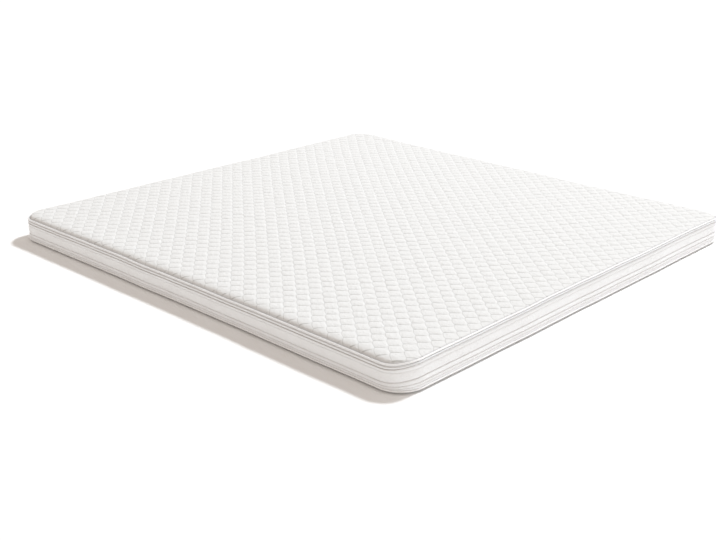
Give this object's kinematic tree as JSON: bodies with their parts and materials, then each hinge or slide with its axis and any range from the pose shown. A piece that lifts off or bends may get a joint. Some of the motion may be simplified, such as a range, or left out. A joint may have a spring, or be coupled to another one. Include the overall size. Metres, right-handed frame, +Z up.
{
  "type": "quilted mattress topper",
  "caption": "Square quilted mattress topper with piped edges, a sewn corded side band and rounded corners, lying flat.",
  "frame": {"origin": "middle of the flat underside, on the surface that the topper rests on", "axes": "+Z up through the thickness, +Y along the longer sides, +X along the shorter sides; the side at -Y and the side at -X are the two that the picture shows"},
  "size_m": [1.9276, 2.0274, 0.1068],
  "materials": {
    "quilted_jersey": "matt white knitted jersey, quilted",
    "band_fabric": "matt off-white woven border with corded lines",
    "piping_tape": "satin white binding tape",
    "underside_jersey": "plain matt white knitted jersey"
  },
  "bodies": {
    "root": {"quilted_pad": "quilted_jersey", "side_band": "band_fabric", "top_piping": "piping_tape", "bottom_piping": "piping_tape", "bottom_panel": "underside_jersey"}
  },
  "joints": []
}
